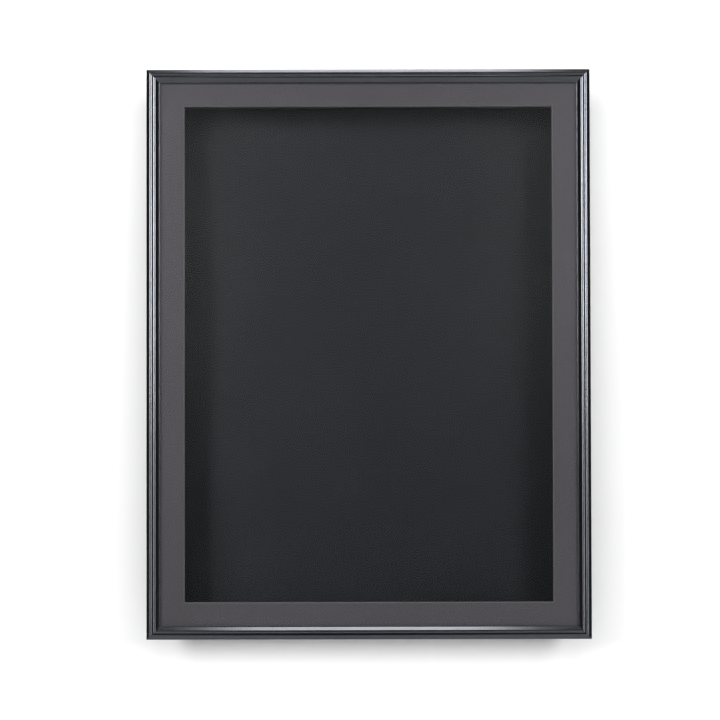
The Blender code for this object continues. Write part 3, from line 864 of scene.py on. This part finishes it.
def cross_outline(length, width, y):
    """A plus sign about the Y axis, as 12 points."""
    points = []
    for quarter in range(4):
        turn = Matrix.Rotation(-quarter * math.pi / 2, 3, "Y")
        for x, z in ((width, width), (width, length), (-width, length)):
            points.append(turn @ Vector((x, y, z)))
    return points


def screw_mesh(name, head, shank, length, pan_height=0.0):
    """A cross-recessed screw that points along +Y, its head's rim at y = 0."""
    if pan_height:
        profile = [(0.0, -pan_height)]
        for ring in PAN_RINGS:
            profile.append((head * ring, -pan_height + pan_height * PAN_FALL * ring ** 3))
        profile += [(head, -pan_height * PAN_FALL), (head, 0.0), (shank, 0.0)]
    else:
        rim = head * RIM_SHARE
        profile = [(0.0, 0.0), (head - rim, 0.0), (head, rim), (head, head * RIM_FOOT), (shank, head - shank)]
    profile += [(shank, length - shank), (shank * TIP_SHARE, length), (0.0, length)]
    screw = turned(name, profile, SCREW_SEGMENTS, materials["zinc_steel"])
    mouth = [head * size for size in RECESS_MOUTH]
    floor = [head * size for size in RECESS_FLOOR]
    bm = bmesh.new()
    add_loops(bm, [
        cross_outline(*mouth, -pan_height - head * RECESS_START),
        cross_outline(*floor, -pan_height + head * RECESS_DEPTH),
    ])
    cut(screw, mesh_object("recess", bm, materials["zinc_steel"]))
    mesh = screw.data
    bpy.data.objects.remove(screw)
    return mesh


def make_screws(prefix, body, shank_share, faces_viewer=False, pan_share=0.0):
    """A finished screw in the place of each CAD screw with that prefix."""
    nodes = sorted(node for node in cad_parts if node.startswith(prefix))
    low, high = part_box(nodes[0])
    head = (high.x - low.x) / 2
    length = high.y - low.y
    pan_height = length * pan_share
    mesh = screw_mesh(prefix, head, head * shank_share, length - pan_height, pan_height)
    for index, node in enumerate(nodes):
        low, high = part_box(node)
        screw = bpy.data.objects.new(f"finished_{node}", mesh)
        bpy.context.scene.collection.objects.link(screw)
        face = low.y + pan_height if faces_viewer else high.y - pan_height
        screw.location = ((low.x + high.x) / 2, face, (low.z + high.z) / 2)
        screw.rotation_euler = (0.0 if faces_viewer else math.pi, index * SCREW_TURN, 0.0)
        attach(screw, body)
        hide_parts(node)
    mesh.shade_smooth()
    mesh.set_sharp_from_angle(angle=SMOOTH_ANGLE)


# ---------------------------------------------------------------- CAD nodes that stay


def dress_cad_nodes():
    """Materials for the CAD nodes that keep their own shape."""
    kept = {
        "back_panel": "hardboard",
        "display_board": "fibreboard",
        "hook_tape": "hook_tape",
        "corner_key": "zinc_steel",
        "catch_magnet": "nickel_magnet",
        "strike_plate": "zinc_steel",
    }
    for name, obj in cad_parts.items():
        for prefix, look in kept.items():
            if name.startswith(prefix):
                obj.data.materials.clear()
                obj.data.materials.append(materials[look])


# ---------------------------------------------------------------- stage, light and camera

WALL_GAP = 0.0006
FLOOR_LEVEL = -1.0
STAGE_HALF = 2.4
FLOOR_DEPTH = 4.5
WHITE_PAINT = (0.84, 0.86)
PALE_GREY_PAINT = (0.46, 0.50)

# Lamps: place, (width, height) and radiance. Lamps in pairs are mirrored from the right to the left.
LEFT_KEY_GAIN = 20.2 / 18.4
KEY = ((2.08, -3.0, 0.62), (0.9, 1.25), 18.4)
CARD = ((0.95, -3.0, 0.62), (1.1, 1.25), 1.0)
LOW_CARD = ((2.08, -3.0, -0.4), (0.9, 0.75), 5.0)
BACK = ((0.7, 2.6, 0.8), (1.2, 1.6), 3.0)
OVERHEAD = ((0.0, -0.38, 1.55), (0.6, 0.3), 5.2)
FILL = ((0.0, -2.8, -0.2), (3.2, 2.2), 1.35)
TOP = ((0.0, -1.5, 0.95), (1.0, 0.4), 10.0)
WORLD_LIGHT = 0.05
WORLD_SEEN = 0.92

LENS = 107.5
SENSOR_WIDTH = 36.0
CAMERA_PLACE = (-0.0105, -2.675, -0.0621)
CAMERA_TILT = 1.2
CAMERA_ROLL = 0.12


def stage_plane(name, corners, material):
    bm = bmesh.new()
    bm.faces.new([bm.verts.new(corner) for corner in corners])
    mesh = bpy.data.meshes.new(name)
    bm.to_mesh(mesh)
    bm.free()
    mesh.materials.append(material)
    plane = bpy.data.objects.new(name, mesh)
    bpy.context.scene.collection.objects.link(plane)
    plane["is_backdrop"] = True
    return plane


def paint(dark, light):
    """Matt paint whose tone wanders between two values."""
    def inputs(tree):
        roller = grain(tree, 160.0, detail=3.0)
        return {
            "Base Color": tones(tree, grain(tree, 3.0), (dark, dark, dark), (light, light, light)),
            "Roughness": 0.85,
            "Specular IOR Level": 0.1,
            "Normal": bump(tree, roller, 0.00006),
        }

    return inputs


def make_stage():
    """A white wall that only shows from its front, and a pale floor well below the case."""
    wall_paint = new_material("stage_wall", paint(*WHITE_PAINT))
    tree = wall_paint.node_tree
    behind = add_node(tree, "ShaderNodeNewGeometry", {}, output="Backfacing")
    clear = add_node(tree, "ShaderNodeBsdfTransparent", {})
    painted = tree.nodes["Principled BSDF"].outputs["BSDF"]
    seen = add_node(tree, "ShaderNodeMixShader", {0: behind, 1: painted, 2: clear})
    tree.links.new(seen, tree.nodes["Material Output"].inputs["Surface"])
    wall = stage_plane("stage_wall", [
        (-STAGE_HALF, WALL_GAP, FLOOR_LEVEL),
        (STAGE_HALF, WALL_GAP, FLOOR_LEVEL),
        (STAGE_HALF, WALL_GAP, STAGE_HALF),
        (-STAGE_HALF, WALL_GAP, STAGE_HALF),
    ], wall_paint)
    floor = stage_plane("stage_floor", [
        (-FLOOR_DEPTH, -FLOOR_DEPTH, FLOOR_LEVEL),
        (FLOOR_DEPTH, -FLOOR_DEPTH, FLOOR_LEVEL),
        (FLOOR_DEPTH, FLOOR_DEPTH, FLOOR_LEVEL),
        (-FLOOR_DEPTH, FLOOR_DEPTH, FLOOR_LEVEL),
    ], new_material("stage_floor", paint(*PALE_GREY_PAINT)))
    return [wall, floor]


def add_light(name, place, size, radiance):
    """A rectangular lamp that isn't seen itself, turned to the case. Its power follows from its radiance."""
    data = bpy.data.lights.new(name, "AREA")
    data.shape = "RECTANGLE"
    data.size, data.size_y = size
    data.energy = radiance * math.pi * size[0] * size[1]
    lamp = bpy.data.objects.new(name, data)
    lamp.location = place
    lamp.rotation_euler = (-Vector(place)).to_track_quat("-Z", "Y").to_euler()
    lamp.visible_camera = False
    bpy.context.scene.collection.objects.link(lamp)
    return lamp


def add_pair(name, place, size, radiance, left_gain=1.0):
    """The same lamp on both sides of the case."""
    left = add_light(f"{name}_left", (-place[0], *place[1:]), size, radiance * left_gain)
    return [left, add_light(f"{name}_right", place, size, radiance)]


def make_collection(name, objects):
    collection = bpy.data.collections.new(name)
    for obj in objects:
        collection.objects.link(obj)
    return collection


def make_lights():
    """Far side keys, soft and steep top lights, a fill for the wall, and cards only for reflections."""
    add_pair("key", *KEY, left_gain=LEFT_KEY_GAIN)
    for lamp in add_pair("card", *CARD) + add_pair("low_card", *LOW_CARD):
        lamp.visible_diffuse = False
    add_light("overhead", *OVERHEAD)
    fill = add_light("fill", *FILL)
    fill.light_linking.receiver_collection = make_collection("stage", stage)
    for lamp in (fill, add_light("top", *TOP)):
        lamp.visible_glossy = False
    case = make_collection("case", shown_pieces())
    for lamp in add_pair("back", *BACK):
        lamp.light_linking.receiver_collection = case
        lamp.light_linking.blocker_collection = case


def make_world():
    """Dim for light and reflections, pale where the camera looks past the stage."""
    world = bpy.data.worlds.new("studio")
    bpy.context.scene.world = world
    world.use_nodes = True
    tree = world.node_tree
    background = tree.nodes["Background"]
    seen = add_node(tree, "ShaderNodeLightPath", {}, output="Is Camera Ray")
    strength = levels(tree, seen, WORLD_LIGHT, WORLD_SEEN, start=0.0, end=1.0)
    tree.links.new(strength, background.inputs["Strength"])
    background.inputs["Color"].default_value = (1.0, 1.0, 1.0, 1.0)


def make_camera():
    data = bpy.data.cameras.new("camera")
    data.lens = LENS
    data.sensor_width = SENSOR_WIDTH
    camera = bpy.data.objects.new("camera", data)
    camera.location = CAMERA_PLACE
    camera.rotation_euler = (math.radians(90 + CAMERA_TILT), math.radians(CAMERA_ROLL), 0.0)
    bpy.context.scene.collection.objects.link(camera)
    bpy.context.scene.camera = camera
    bpy.context.scene.view_settings.view_transform = "Standard"


make_camera()
make_mouldings()
make_retaining_bars()
make_mat()
make_glazing()
make_walls()
make_seals()
make_cloth()
make_leaves()
make_pin()
make_screws("panel_screw", "cabinet", PANEL_SHANK)
make_screws("hinge_screw_cabinet", "cabinet", SMALL_SHANK, faces_viewer=True)
make_screws("hinge_screw_door", "door", SMALL_SHANK)
make_screws("strike_screw", "door", SMALL_SHANK)
make_screws("key_screw", "door", KEY_SHANK, pan_share=KEY_PAN)
dress_cad_nodes()
stage = make_stage()
make_lights()
make_world()
